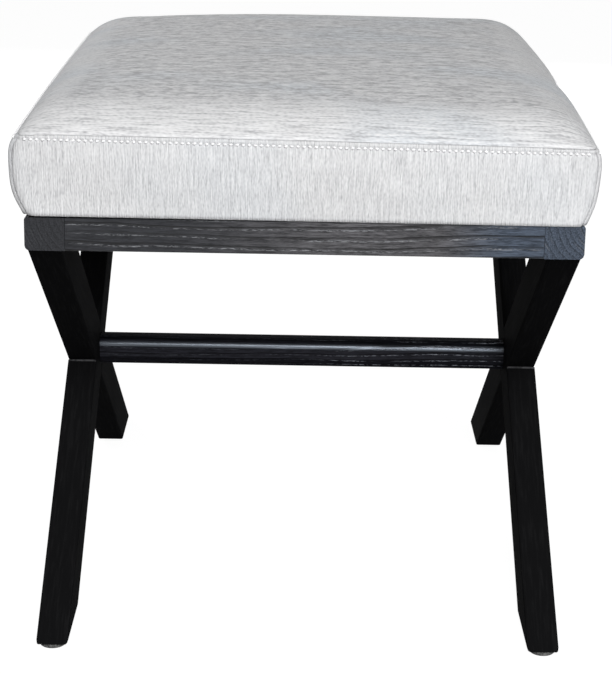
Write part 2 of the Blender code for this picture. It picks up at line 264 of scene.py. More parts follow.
def makeLamps():
    aim = Vector(studio["aim"])
    for name, (place, size, share, colour) in studio["lamps"].items():
        data = bpy.data.lights.new(name, "AREA")
        data.shape = "RECTANGLE"
        data.size, data.size_y = size
        away = Vector(place) - aim
        data.energy = share * math.pi ** 2 * away.length_squared  # a facing white surface then shows share
        data.color = colour
        lamp = newObject(name, data)
        lamp.location = place
        lamp.rotation_euler = away.to_track_quat("Z", "Y").to_euler()


def makeStudio():
    bpy.context.scene.view_settings.view_transform = "Standard"
    makeFloor()
    makeSurround()
    makeLamps()
    print("studio lit")


# cushion: one sheet of cloth cells is blown up over the seat, then cut apart at its seams

seat = {
    "cell": 0.007,  # cloth cells, about
    "wallRows": 10,
    "edge": 0.0018,  # cloth round the board
    # for the front, right, back and left
    "seamOut": (0.0040, 0.0062, 0.0040, 0.0044),  # seam outside the board's edge
    "swell": (-0.0015, 0.0056, 0.0060, 0.0085),  # boxing between hem and seam, before it is blown up
    "swellLean": (1.15, 1.2, 1.15, 1.2),  # above 1, fuller near the seam
    "bow": (0.0030, 0.0060, 0.0030, 0.0025),  # middle of a side, outside its corners
    "swellPower": (3.0, 3.2, 2.2, 3.4),  # higher is squarer
    "widen": 0.0025,  # seam wider at the back and narrower at the front, each side
    "seamCorner": 0.009,  # corner radius at the seam
    "hemCorner": 0.012,
    "cornerSteps": 12, "sideSteps": 60,  # points of an outline, before they are spaced evenly
    "crown": 0.0225,
    "roll": (0.066, 0.055, 0.055, 0.055),  # width of the rounded edge of the top
    "rollPower": (2.6, 3.0, 2.6, 3.4),
    "slack": 0.32,  # share of the crown missing at the back left corner
    "lift": 0.0016,  # seam above the plain height, all round
    "tilt": 0.0020,  # at the front, its left end up and its right end down
    "arch": 0.0014,  # and its middle up
    "hemLift": 0.0016,  # boxing off the apron at the front left corner
    "pinch": 0.0025,  # the right side is drawn in a little, here
    "pinchAt": -0.010,
    "pinchWidth": 0.045,
    "pressure": 0.2,
    "tension": 80,
    "bending": 2,
    "quality": 6,  # steps of the cloth simulation in a frame
    "frames": 20,
    "cap": 0.006,  # furthest that a point may move when blown up
    "cloth": 0.0012,
    "hemWidth": 0.024,
    "hemRows": (1.0, 0.5, 0.2),  # shares of that width, from its raw edge out
    "foamGap": 0.0030,
    "foamRest": 0.00045,  # foam above the board
}

seams = {
    "stitchDrop": 0.0050,  # stitches below the seam
    # depth and width of the valleys: where the top meets the boxing, at the corners, along the stitches
    "top": (0.0014, 0.0015), "corner": (0.0012, 0.0016), "stitch": (0.0006, 0.0016),
    # painted shade in each valley: how dark its line is, and its width
    "topShade": (1.0, 0.0008), "cornerShade": (0.6, 0.0008), "stitchShade": (0.5, 0.0012),
}

boardLow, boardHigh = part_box("seat_board")
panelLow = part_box("cover_top_panel")[0]
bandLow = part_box("cover_front_band")[0]
baseHalf = (boardHigh.x + seat["edge"], boardHigh.y + seat["edge"])
baseZ, seamZ = bandLow.z, panelLow.z
cellsX = round(2 * baseHalf[0] / seat["cell"])
cellsY = round(2 * baseHalf[1] / seat["cell"])
sideCells = (cellsX, cellsY, cellsX, cellsY)  # front, right, back, left
cornerAt = np.cumsum((0,) + sideCells)  # columns of the corner seams


def loopAround(out, radius, bow, pinch):  # points round the seat, from the front left corner
    points = []
    for side, cells in enumerate(sideCells):
        run = (out[side - 1] + out[(side + 1) % 4]) / 2
        shift = (out[(side + 1) % 4] - out[side - 1]) / 2
        turn = np.radians(np.linspace(45, 0, seat["cornerSteps"]))
        startRun = -(run - radius) - radius * np.sin(turn)
        startOut = out[side] - radius + radius * np.cos(turn)
        straight = np.linspace(startRun[-1], -startRun[-1], seat["sideSteps"])[1:-1]
        along = np.concatenate([startRun, straight, -startRun[::-1]])
        away = np.concatenate([startOut, np.full(len(straight), out[side]), startOut[::-1]])
        away = away + bow[side] * (1 - (along / run) ** 2)
        if side == 1:
            away -= pinch * np.exp(-((along + shift - seat["pinchAt"]) / seat["pinchWidth"]) ** 2)
        length = np.concatenate([[0], np.cumsum(np.hypot(np.diff(along), np.diff(away)))])
        even = np.linspace(0, length[-1], cells, endpoint=False)
        along, away = np.interp(even, length, along) + shift, np.interp(even, length, away)
        cos, sin = ((1, 0), (0, 1), (-1, 0), (0, -1))[side]
        points.append(np.stack([along * cos + away * sin, along * sin - away * cos], axis=1))
    return np.concatenate(points)


def seamLift(x, y):  # the sewn seam isn't quite level
    across, toFront = x / baseHalf[0], (1 - y / baseHalf[1]) / 2
    middle = np.clip(1 - across ** 2, 0, 1)
    return seat["lift"] + seat["arch"] * middle - seat["tilt"] * across * toFront


def startWall():  # rows of cloth points from the hem up to the seam
    rows = []
    for row in range(seat["wallRows"] + 1):
        up = row / seat["wallRows"]
        full = [1 - abs(2 * up ** lean - 1) ** power
                for lean, power in zip(seat["swellLean"], seat["swellPower"])]
        out = [baseHalf[1 - side % 2] + seat["seamOut"][side] * up + seat["swell"][side] * full[side]
               for side in range(4)]
        radius = seat["hemCorner"] + (seat["seamCorner"] - seat["hemCorner"]) * up
        radius += seat["swell"][0] * full[0]
        loop = loopAround(out, radius, [bow * up for bow in seat["bow"]], seat["pinch"] * up)
        loop[:, 0] *= 1 + seat["widen"] * up * loop[:, 1] / (baseHalf[0] * baseHalf[1])
        hemLift = seat["hemLift"] * (1 - loop[:, 0] / baseHalf[0]) * (1 - loop[:, 1] / baseHalf[1]) / 4
        z = baseZ + (seamZ - baseZ) * up + seamLift(loop[:, 0], loop[:, 1]) * up + hemLift * (1 - up)
        rows.append(np.column_stack([loop, z]))
    return np.array(rows)


def startTop(seam):  # grid of cloth points over the seat, bounded by the seam's loop
    front, right = seam[:cellsX + 1], seam[cellsX:cellsX + cellsY + 1]
    back = seam[cellsX + cellsY:2 * cellsX + cellsY + 1][::-1]
    left = np.concatenate([seam[2 * cellsX + cellsY:], seam[:1]])[::-1]
    u, v = np.linspace(0, 1, cellsX + 1)[None, :, None], np.linspace(0, 1, cellsY + 1)[:, None, None]
    grid = (1 - v) * front[None] + v * back[None] + (1 - u) * left[:, None] + u * right[:, None]
    grid -= (1 - u) * (1 - v) * front[0] + u * (1 - v) * front[-1] + (1 - u) * v * back[0] + u * v * back[-1]
    inside = (grid[..., 1] - front[None, :, 1], right[:, None, 0] - grid[..., 0],
              back[None, :, 1] - grid[..., 1], grid[..., 0] - left[:, None, 0])
    rise = np.full(grid.shape[:2], seat["crown"])
    for room, roll, power in zip(inside, seat["roll"], seat["rollPower"]):
        rise *= 1 - (1 - np.clip(room / roll, 0, 1)) ** power
    toLeft, toBack = np.clip(-grid[..., 0] / baseHalf[0], 0, 1), (1 + grid[..., 1] / baseHalf[1]) / 2
    grid[..., 2] += rise * (1 - seat["slack"] * toLeft ** 2 * toBack ** 3)
    return grid


def numbered(shape):  # a table of point numbers
    return np.arange(math.prod(shape)).reshape(shape)


def unit(rows):
    return rows / np.linalg.norm(rows, axis=-1, keepdims=True)


def gridFaces(index):  # quads over a table of point numbers
    quads = np.stack([index[:-1, :-1], index[:-1, 1:], index[1:, 1:], index[1:, :-1]], axis=-1)
    return quads.reshape(-1, 4).tolist()


def ringFaces(index):  # the same, where the last column meets the first
    return gridFaces(np.column_stack([index, index[:, :1]]))


def tubeFaces(index):  # rings of points, closed at both ends
    return ringFaces(index) + [index[0][::-1].tolist(), index[-1].tolist()]


def sheetIndex(wallShape, topShape):  # numbers of the points: the top's rim is the wall's last row
    wallIndex, topIndex = numbered(wallShape), np.full(topShape, -1)
    seam, (rows, cols) = wallIndex[-1], (topShape[0] - 1, topShape[1] - 1)
    topIndex[0, :], topIndex[:, -1] = seam[:cols + 1], seam[cols:cols + rows + 1]
    topIndex[-1, ::-1] = seam[cols + rows:2 * cols + rows + 1]
    topIndex[::-1, 0] = np.append(seam[2 * cols + rows:], seam[0])
    inner = topIndex[1:-1, 1:-1]
    inner[:] = wallIndex.size + numbered(inner.shape)
    return wallIndex, topIndex


def joinSheet(name, wall, top):  # wall and top as one mesh
    wallIndex, topIndex = sheetIndex(wall.shape[:2], top.shape[:2])
    points = np.concatenate([wall.reshape(-1, 3), top[1:-1, 1:-1].reshape(-1, 3)])
    mesh = newMesh(name, points.tolist(), ringFaces(wallIndex) + gridFaces(topIndex))
    return mesh, points, wallIndex, topIndex


def setCloth(blank, hem):  # a cloth simulation, held at the points of the hem
    held = blank.vertex_groups.new(name="stapled")
    held.add(hem.tolist(), 1.0, "REPLACE")
    cloth = blank.modifiers.new("cloth", "CLOTH")
    settings = cloth.settings
    settings.quality = seat["quality"]
    settings.vertex_group_mass = "stapled"
    settings.use_pressure = True
    settings.uniform_pressure_force = seat["pressure"]
    settings.tension_stiffness = settings.compression_stiffness = seat["tension"]
    settings.bending_stiffness = seat["bending"]
    settings.effector_weights.gravity = 0
    cloth.collision_settings.use_collision = False
    cloth.point_cache.frame_end = seat["frames"]


def blowUp(wall, top):
    mesh, points, wallIndex, topIndex = joinSheet("clothBlank", wall, top)
    blank = newObject("clothBlank", mesh)
    setCloth(blank, wallIndex[0])
    scene = bpy.context.scene
    for number in range(1, seat["frames"] + 1):
        scene.frame_set(number)
    shaped = blank.evaluated_get(bpy.context.evaluated_depsgraph_get()).data
    result = np.empty(len(shaped.vertices) * 3)
    shaped.vertices.foreach_get("co", result)
    bpy.data.objects.remove(blank, do_unlink=True)
    scene.frame_set(1)
    moved = result.reshape(-1, 3) - points
    reach = np.linalg.norm(moved, axis=1, keepdims=True)
    mean, most = (1000 * reach.mean()).round(2), (1000 * reach.max()).round(2)
    print("cloth moved", mean, "mm on average,", most, "at most")
    points = points + moved * (seat["cap"] / np.maximum(reach, seat["cap"]))
    return points[wallIndex], points[topIndex]


def resample(points, at, loop=False):  # smooth curve through rows of points, read at places along them
    last = len(points) - (1 if loop else 2)
    before, after = [2 * points[0] - points[1]], [2 * points[-1] - points[-2]]
    if loop:
        before, after = points[-1:], points[:2]
    points = np.concatenate([before, points, after])
    low = np.minimum(np.floor(at).astype(int), last)
    share = (at - low).reshape((-1,) + (1,) * (points.ndim - 1))
    p0, p1, p2, p3 = (points[low + step] for step in range(4))
    slope = 2 * p1 + (p2 - p0) * share
    square = (2 * p0 - 5 * p1 + 4 * p2 - p3) * share ** 2
    cube = (3 * (p1 - p2) + p3 - p0) * share ** 3
    return 0.5 * (slope + square + cube)


def crowded(cells, fine, clear=0.3):  # places along a grid, crowded towards both ends
    fine = np.array(fine)
    return np.concatenate([fine, np.arange(np.ceil(fine[-1] + clear), cells - fine[-1]), cells - fine[::-1]])


def arcLength(points, axis):
    step = np.linalg.norm(np.diff(points, axis=axis), axis=-1)
    start = np.zeros_like(np.take(step, [0], axis=axis))
    return np.concatenate([start, np.cumsum(step, axis=axis)], axis=axis)


# finer grid of the sewn cloth, in cells
fineEnds = (0, 0.14, 0.3, 0.5, 0.75, 1.05, 1.4)  # from a side's or the top's end
fineSeam = (2.4, 2.0, 1.6, 1.3, 1.1, 0.95, 0.8, 0.7, 0.6, 0.5, 0.38, 0.28, 0.2, 0.1, 0)  # below the seam
plainEnd, plainStep = 2.5, 0.5  # even rows of the wall, up to there below the seam
topColumns, topRows = crowded(cellsX, fineEnds), crowded(cellsY, fineEnds)
wallColumns = np.concatenate([(topColumns, topRows)[side % 2][:-1] + cornerAt[side] for side in range(4)])
wallRows = np.concatenate([np.arange(0, seat["wallRows"] - plainEnd, plainStep),
                           seat["wallRows"] - np.array(fineSeam)])
fineCorner = np.cumsum([0] + [len(topColumns) - 1, len(topRows) - 1] * 2)


def cornerDistance(wall):  # of each point of the wall from the nearest corner seam
    length = arcLength(np.concatenate([wall, wall[:, :1]], axis=1), 1)
    along, perimeter = length[:, :-1], length[:, -1:]
    half = perimeter / 2
    apart = [(along - along[:, [corner]] + half) % perimeter - half for corner in fineCorner[:4]]
    return np.min(np.abs(apart), axis=0)


def valley(away, depth, width):
    return depth * np.exp(-(away / width) ** 2)


def pointNormals(mesh):
    normals = np.empty(len(mesh.vertices) * 3)
    mesh.vertex_normals.foreach_get("vector", normals)
    return normals.reshape(-1, 3)


def sewnCloth():  # fine points of the blown-up cloth with its seams drawn in, their weave coordinates, and the painted shade in its seam valleys
    wall = startWall()
    top = startTop(wall[-1])
    wall, top = blowUp(wall, top)
    wall = resample(np.moveaxis(resample(wall, wallRows), 1, 0), wallColumns, loop=True).swapaxes(0, 1)
    top = resample(np.moveaxis(resample(top, topRows), 1, 0), topColumns).swapaxes(0, 1)
    mesh, points, wallIndex, topIndex = joinSheet("sewn", wall, top)
    normals = pointNormals(mesh)
    bpy.data.meshes.remove(mesh)

    up = arcLength(wall, 0)
    drop = up[-1] - up  # below the seam
    underStitch = drop - seams["stitchDrop"]
    fromCorner = cornerDistance(wall)
    acrossTop, alongTop = arcLength(top, 1), arcLength(top, 0)
    inside = np.minimum(np.minimum(acrossTop, acrossTop[:, -1:] - acrossTop),
                        np.minimum(alongTop, alongTop[-1:] - alongTop))

    wallDepth = valley(drop, *seams["top"]) + valley(underStitch, *seams["stitch"])
    belowSeam = np.clip(drop / seams["stitchDrop"], 0, 1)
    wallDepth += valley(fromCorner, *seams["corner"]) * belowSeam
    depth = np.empty(len(points))
    depth[topIndex] = valley(inside, *seams["top"])
    depth[wallIndex] = wallDepth
    points = points - normals * depth[:, None]

    # painted shade along the seam, the corner seams and the stitches, later laid into the cloth's colour
    wallShade = np.maximum(valley(drop, *seams["topShade"]), valley(fromCorner, *seams["cornerShade"]))
    wallShade = np.maximum(wallShade, valley(underStitch, *seams["stitchShade"]))
    topWeave = np.stack([acrossTop, alongTop, valley(inside, *seams["topShade"])], axis=-1)
    return {"points": points, "normals": normals, "wallIndex": wallIndex, "topIndex": topIndex, "drop": drop,
            "wallUp": up, "wallShade": wallShade, "topWeave": topWeave}


def showPiece(name, mesh, material, slotName, *nodes):  # link a new piece and tie it to the frame
    mesh.shade_smooth()
    mesh.materials.append(material)
    piece = newObject(name, mesh)
    if nodes:
        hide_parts(*nodes)
    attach(piece, "root")
    return piece


def thicken(piece, thickness, offset):
    thick = piece.modifiers.new("clothThickness", "SOLIDIFY")
    thick.thickness = thickness
    thick.offset = offset


def clothPiece(name, points, weave, material, slotName, *nodes):  # points and weave are grids
    mesh = newMesh(name, points.reshape(-1, 3).tolist(), gridFaces(numbered(points.shape[:2])))
    layer = mesh.attributes.new("weave", "FLOAT_VECTOR", "POINT")
    layer.data.foreach_set("vector", weave.ravel())
    piece = showPiece(name, mesh, material, slotName, *nodes)
    thicken(piece, seat["cloth"], -1)
    return piece


chenille = {
    "dark": (172, 172, 175), "light": (240, 240, 241), "contrast": 2.0,
    "cool": (203, 210, 217),
    # painted shade in the seam valleys, and how much of it shows
    "seamShade": (140, 140, 143), "seamShadeShare": 0.45,
    # share of the single ribs and of the mottle over several; the eye meets many ribs at once on the top
    "top": {"base": (222, 222, 223), "ribShare": 0.8, "mottleShare": 2.55, "coolShare": 0.55},
    "boxing": {"base": (213, 213, 214), "ribShare": 1.25, "mottleShare": 0.1, "coolShare": 0.2},
    # noise: features per metre along a rib and across it, then detail and roughness
    "waver": ((60, 60, 1), 1.0), "waverReach": 0.0015,  # of a rib, to its sides
    "longRib": ((48, 900, 1), 0.0),
    "shortRib": ((320, 900, 1), 0.0),
    "thread": ((50, 520, 1), 0.0), "threadSpan": (0.10, 0.0),
    "ribMix": (0.5, 0.4, -0.16), "ribLevel": -0.41,  # long ribs, short ribs, dark threads
    "streak": ((30, 430, 1), 2.0, 0.7),
    "fleck": ((300, 520, 1), 0.0),
    "fineMix": (0.65, 0.25), "fineLevel": 0.05,  # streaks, flecks
    "dash": ((105, 215, 1), 2.0, 0.7),
    "band": ((30, 120, 1), 1.0),
    "coarseMix": (0.75, 0.35, 0.5), "coarseLevel": -0.3,  # dashes, bands, fine mottle
    "lying": (0.975, 0.997),  # how far up the cloth faces where it lies flat
    # painted shade: the cloth is darker where it faces up
    "lyingPaintedShade": 0.055, "mottleLevel": -0.5,
    "patch": (((5, 8, 1), 2.0), (0.45, 0.68)),  # of cooler cloth, and the span of its noise
    "surface": {"Roughness": 0.95, "Specular IOR Level": 0.1, "Sheen Weight": 0.05, "Sheen Roughness": 0.5},
    "bump": (0.0010, 0.5),
}


def ribPattern(tree, flat):  # single ribs, with dark threads between some
    waver = minus(streaks(flat, *chenille["waver"]), 0.5)
    waver = put(tree, "CombineXYZ", {"Y": times(waver, chenille["waverReach"])}).outputs[0]
    place = put(tree, "VectorMath", {0: flat, 1: waver}, operation="ADD").outputs[0]
    longRib = streaks(place, *chenille["longRib"])
    shortRib = streaks(flat, *chenille["shortRib"])
    thread = minus(streaks(place, *chenille["thread"]), 0.5)
    thread = window(calc("ABSOLUTE", thread), *chenille["threadSpan"])
    return weigh(*zip((longRib, shortRib, thread), chenille["ribMix"]), level=chenille["ribLevel"])


def mottlePattern(tree, flat):  # over several ribs, coarser where the cloth lies flat, and darker there as painted shade
    streak, fleck, dash, band = [streaks(flat, *chenille[name])
                                 for name in ("streak", "fleck", "dash", "band")]
    fine = weigh(*zip((streak, fleck), chenille["fineMix"]), level=chenille["fineLevel"])
    coarse = weigh(*zip((dash, band, fine), chenille["coarseMix"]), level=chenille["coarseLevel"])
    lying = window(normalParts(tree)[2], *chenille["lying"])
    mottle = blendValue(lying, fine, coarse)
    return weigh((mottle, 1.0), (lying, -chenille["lyingPaintedShade"]), level=chenille["mottleLevel"])


def makeChenille(use):
    look = chenille[use]
    material, tree = newMaterial("paleChenille_" + use)
    weave = put(tree, "Attribute", attribute_name="weave").outputs["Vector"]
    parts = split(weave)  # x along a rib, y across it, z the painted shade in a seam valley
    flat = put(tree, "CombineXYZ", {"X": parts[0], "Y": parts[1]}).outputs[0]
    rib, mottle = ribPattern(tree, flat), mottlePattern(tree, flat)
    tone = weigh((rib, look["ribShare"]), (mottle, look["mottleShare"]))
    colour = layOver(look["base"], marks(flat, *chenille["patch"]), look["coolShare"], chenille["cool"])
    for end, share in (("light", chenille["contrast"]), ("dark", -chenille["contrast"])):
        colour = blend(times(tone, share, True), colour, chenille[end])
    # painted shade: darker along the seam lines
    colour = layOver(colour, parts[2], chenille["seamShadeShare"], chenille["seamShade"])
    return complete(material, colour, calc("ADD", rib, mottle), chenille)


def makeCover(sewn):
    topCloth, boxingCloth = makeChenille("top"), makeChenille("boxing")
    points, wallIndex, topIndex = sewn["points"], sewn["wallIndex"], sewn["topIndex"]
    top = clothPiece("seatTop", points[topIndex], sewn["topWeave"], topCloth, "chenille", "cover_top_panel")
    for side, name in enumerate(("front", "right", "back", "left")):
        cols = np.arange(fineCorner[side], fineCorner[side + 1] + 1) % wallIndex.shape[1]
        wall = points[wallIndex[:, cols]]
        run, out = side % 2, 1 - side % 2  # axes along and out of this side
        # the third weave part is the painted shade of the seams
        up, paintedSeamShade = sewn["wallUp"][:, cols], sewn["wallShade"][:, cols]
        weave = np.stack([up, wall[..., run] + side, paintedSeamShade], axis=-1)
        hem, hemWeave = [], []
        for share in seat["hemRows"]:
            inset = share * seat["hemWidth"]
            row = wall[0].copy()
            row[:, out] -= inset * np.sign(wall[0, len(cols) // 2, out])
            limit = baseHalf[run] - seat["hemCorner"] - inset  # mitred at the corners
            row[:, run] = np.clip(row[:, run], -limit, limit)
            hem.append(row)
            hemWeave.append(weave[0] - (inset, 0, 0))
        strip, weave = np.concatenate([hem, wall]), np.concatenate([hemWeave, weave])
        piece = clothPiece(name + "Boxing", strip, weave, boxingCloth, "chenille", f"cover_{name}_band")
    print("cover sewn, top and", side + 1, "strips")


foamLook = {
    "cells": 700.0, "walls": (0.1, 0.6),
    "dark": (0.78, 0.72, 0.5, 1), "pale": (0.87, 0.82, 0.63, 1),
    "surface": {"Roughness": 0.95},
    "bump": (0.0008, 1.0),
}


def makeFoamFinish():
    material, tree = newMaterial("foamCells")
    inputs = {"Vector": objectPlace(tree), "Scale": foamLook["cells"]}
    cells = put(tree, "TexVoronoi", inputs).outputs["Distance"]
    colour = blend(window(cells, *foamLook["walls"]), foamLook["dark"], foamLook["pale"])
    return complete(material, colour, cells, foamLook)


def makeFoam(sewn, finish):
    inner = sewn["points"] - sewn["normals"] * seat["foamGap"]
    wall, topIndex = sewn["wallIndex"], sewn["topIndex"]
    low = boardHigh.z + seat["foamRest"]
    first = int(np.argmax(inner[wall].min(axis=1)[:, 2] > low))
    inner[wall[first - 1], 2] = low
    rows = wall[first - 1:]
    used, number = np.unique(np.concatenate([rows.ravel(), topIndex.ravel()]), return_inverse=True)
    rowNumber, topNumber = number[:rows.size].reshape(rows.shape), number[rows.size:].reshape(topIndex.shape)
    faces = ringFaces(rowNumber) + gridFaces(topNumber) + [rowNumber[0][::-1].tolist()]
    mesh = newMesh("foamBlock", inner[used].tolist(), faces)
    foam = showPiece("foamBlock", mesh, finish, "foam", "seat_foam")


# topstitching round the boxing, a little below the seam

topstitch = {
    "pitch": 0.0046,
    "length": 0.0029,
    "thread": 0.0011,  # radius
    "taper": 0.45,  # share of the radius missing at the ends of a stitch
    "sink": 0.0005,  # ends of a stitch, into the cloth
    "proud": 0.0007,
    "cornerClear": 0.004,
    "rings": 5,
    "sides": 6,
}

threadLook = {
    "noise": ((900, 900, 900), 1.0),
    "dark": (246, 246, 247), "pale": (254, 254, 255),
    "surface": {"Roughness": 0.7},
    "bump": (0.0003, 1.0),
}


def readAlong(at, length, rows):  # rows of vectors, read at places along them
    return np.stack([np.interp(at, length, values) for values in rows.T], axis=-1)


def stitchLine(sewn):  # places and normals along the line of stitches
    drop, wallIndex = sewn["drop"], sewn["wallIndex"]
    places, outward = [], []
    for column in range(wallIndex.shape[1]):
        order = np.argsort(drop[:, column])
        at, chain = drop[order, column], wallIndex[order, column]
        places.append(readAlong(seams["stitchDrop"], at, sewn["points"][chain]))
        outward.append(readAlong(seams["stitchDrop"], at, sewn["normals"][chain]))
    return np.array(places), np.array(outward)


def stitchShape(path, normal, swing):  # rings of points round one stitch, swing is -1..1 along it
    turn = np.linspace(0, math.tau, topstitch["sides"], endpoint=False)
    normal = unit(normal)
    arch = topstitch["proud"] - (topstitch["proud"] + topstitch["sink"]) * swing[:, None] ** 4
    path = path + normal * arch
    across = np.cross(unit(np.gradient(path, axis=0)), normal)
    radius = topstitch["thread"] * (1 - topstitch["taper"] * swing ** 4)[:, None, None]
    ring = np.cos(turn)[None, :, None] * normal[:, None]
    ring = ring + np.sin(turn)[None, :, None] * across[:, None]
    return path[:, None] + radius * ring


def makeTopstitch(sewn, thread):
    places, outward = stitchLine(sewn)
    points, faces = [], []
    swing = np.linspace(-1, 1, topstitch["rings"])
    shape = (topstitch["rings"], topstitch["sides"])
    for side in range(4):
        cols = np.arange(fineCorner[side], fineCorner[side + 1] + 1) % len(places)
        length = arcLength(places[cols], 0)
        room = length[-1] - 2 * topstitch["cornerClear"]
        count = int(room / topstitch["pitch"])
        first = (length[-1] - (count - 1) * topstitch["pitch"]) / 2
        for stitch in range(count):
            along = first + stitch * topstitch["pitch"] + swing * topstitch["length"] / 2
            path, normal = readAlong(along, length, places[cols]), readAlong(along, length, outward[cols])
            faces += tubeFaces(len(points) + numbered(shape))
            points.extend(stitchShape(path, normal, swing).reshape(-1, 3).tolist())
    mesh = newMesh("topstitch", points, faces)
    mesh.update()
    showPiece("topstitch", mesh, thread, "chenille")
    print("topstitch,", len(points) // math.prod(shape), "stitches")


# wood of the apron, legs and stretcher

ash = {
    "ringWidth": 0.0052, "warp": 0.016,
    # darkest and palest wood at the left end, from the middle on, and at the right end; the lighter, bluer
    # middle and right tones are painted sheen of a cool light from the right, laid over the stain
    "left": ((20, 21, 24), (52, 53, 57)),
    "middle": ((22, 22, 24), (99, 98, 101)),
    "right": ((23, 29, 38), (83, 93, 108)),
    "groove": 0.65,  # dark line at each ring
    "pore": (150, 152, 156), "poreShare": 0.7, "poreLeft": 1.0,
    "faceRoughness": 0.42, "edgeRoughness": 0.42, "specular": 0.2,
    "tint": (1, 1, 1, 1),  # of its gloss
}

blackAsh = {
    **ash,
    "ringWidth": 0.0040,
    "left": ((17, 17, 20), (32, 32, 38)),
    "middle": ((17, 17, 20), (32, 32, 38)),
    "right": ((15, 16, 19), (36, 37, 43)),
    "groove": 0.6,
    "pore": (175, 180, 190), "poreShare": 0.9, "poreLeft": 0.12,
    "faceRoughness": 1.0, "edgeRoughness": 1.0, "specular": 0.03,
}

paintedLitAsh = {  # painted lighter copy for the stretcher's upright sides, where light falls; its top and bottom keep the darker copy as painted shade
    **blackAsh,
    "left": ((30, 30, 34), (50, 50, 57)),
    "middle": ((31, 31, 35), (53, 53, 60)),
    "right": ((28, 29, 33), (55, 56, 63)),
}

rubbedAsh = {  # its upper edges, rubbed to a gloss; the bluish tint of that gloss is painted colour of a cool light
    **blackAsh,
    # bluish tint: painted colour of a cool light in the highlight
    "edgeRoughness": 0.30, "specular": 1.0, "tint": (0.78, 0.87, 1.0, 1),
}

figure = {  # of all the ash
    # noise: features per metre along the grain and across it, detail, roughness; then the span of its levels
    "sway": ((3, 16, 16), 3.0),
    "fibre": ((75, 760, 760), 4.0, 0.75),
    "broken": (((14, 160, 160), 2.0), (0.34, 0.52)),
    "vessel": (((260, 1900, 1900), 2.0, 0.6), (0.47, 0.58)),
    "cluster": (((18, 150, 150), 2.0, 0.6), (0.38, 0.60)),
    "endLine": (((40, 60, 60), 1.0), (0.45, 0.65)),
    "tintMix": (0.12, 1.0), "tintSpan": (0.34, 0.80),  # rings, fibres
    # through each ring: its dark groove, and the start and end of its pores
    "grooveSpan": (0.24, 0.08), "poreStart": (0.24, 0.30), "poreEnd": (0.46, 0.37),
    "grooveShade": (8, 8, 9), "endGroove": 0.6,  # share of the groove missing on a sawn end
    "endLineLeft": 0.08, "endLineRight": 0.25,
    # from left to right: where the colour turns to its middle and right tones, painted sheen over the stain,
    # and where pores come in
    "toMiddle": (-0.11, 0.03), "toRight": (0.10, 0.16), "toPores": (0.0, 0.06),
    "sawnEnd": (0.6, 0.9),  # how far a face turns to the grain
    "edgeStart": (0.04, 0.15), "edgeEnd": (0.82, 0.62),  # how far up a rounded edge faces
    "poreRoughness": 0.25, "fibreHeight": 0.25,
    "bump": (0.0002, 0.7),
}


def woodAxes(tree, grain):  # a place along the grain and across it, and its parts
    parts = split(objectPlace(tree))
    along, first, second = parts[grain], parts[1 - grain], parts[2]
    place = put(tree, "CombineXYZ", {"X": along, "Y": first, "Z": second}).outputs[0]
    return place, along, first, second


def growthRings(place, first, second, pith, tone):  # 0..1 through each ring
    sway = minus(streaks(place, *figure["sway"]), 0.5)
    firstOff, secondOff = minus(first, pith[0]), minus(second, pith[1])
    radius = weigh((sway, tone["warp"]), level=distance(firstOff, secondOff))
    return calc("FRACT", calc("DIVIDE", radius, tone["ringWidth"]))


def stainAndPaintedSheen(ring, fibre, across, tone):
    tint = window(weigh(*zip((ring, fibre), figure["tintMix"])), *figure["tintSpan"])
    # painted sheen: the tones grow lighter and bluer from the left end to the right
    toMiddle, toRight = window(across, *figure["toMiddle"]), window(across, *figure["toRight"])
    ends = []
    for end in (0, 1):
        stain = blend(toMiddle, tone["left"][end], tone["middle"][end])
        ends.append(blend(toRight, stain, tone["right"][end]))
    return blend(tint, *ends)


def ringGrooves(place, ring, sawnEnd):  # broken along the grain, and fainter on a sawn end
    broken = marks(place, *figure["broken"])
    groove = times(window(ring, *figure["grooveSpan"]), broken)
    return times(groove, weigh((sawnEnd, -figure["endGroove"]), level=1.0))


def openPores(place, ring, sawnEnd, across, tone):  # in each ring's early wood, a line on a sawn end
    vessels = times(marks(place, *figure["vessel"]), marks(place, *figure["cluster"]))
    toRight = window(across, *figure["toRight"])
    lineShare = weigh((toRight, figure["endLineRight"]), level=figure["endLineLeft"])
    endLine = times(marks(place, *figure["endLine"]), lineShare)
    shown = blendValue(sawnEnd, vessels, endLine)
    start, end = window(ring, *figure["poreStart"]), window(ring, *figure["poreEnd"])
    pores = times(times(start, end), shown)
    toPores = window(across, *figure["toPores"])
    return times(pores, weigh((toPores, 1 - tone["poreLeft"]), level=tone["poreLeft"]))


def makeAsh(name, grain, pith, tone):
    material, tree = newMaterial(name)
    place, along, first, second = woodAxes(tree, grain)
    across = (along, first)[grain]  # from left to right
    facing = normalParts(tree)
    sawnEnd = window(calc("ABSOLUTE", facing[grain]), *figure["sawnEnd"])
    ring = growthRings(place, first, second, pith, tone)
    fibre = streaks(place, *figure["fibre"])
    groove = ringGrooves(place, ring, sawnEnd)
    pores = openPores(place, ring, sawnEnd, across, tone)
    colour = stainAndPaintedSheen(ring, fibre, across, tone)
    colour = layOver(colour, groove, tone["groove"], figure["grooveShade"])
    colour = layOver(colour, pores, tone["poreShare"], tone["pore"])
    edge = times(window(facing[2], *figure["edgeStart"]), window(facing[2], *figure["edgeEnd"]))
    edgeShare = tone["edgeRoughness"] - tone["faceRoughness"]
    rough = weigh((edge, edgeShare), (pores, figure["poreRoughness"]))
    surface = {"Roughness": calc("ADD", rough, tone["faceRoughness"], True),
               "Specular IOR Level": tone["specular"], "Specular Tint": tone["tint"]}
    height = weigh((fibre, figure["fibreHeight"]), (pores, -1.0), (groove, -1.0))
    return complete(material, colour, height, figure, surface)


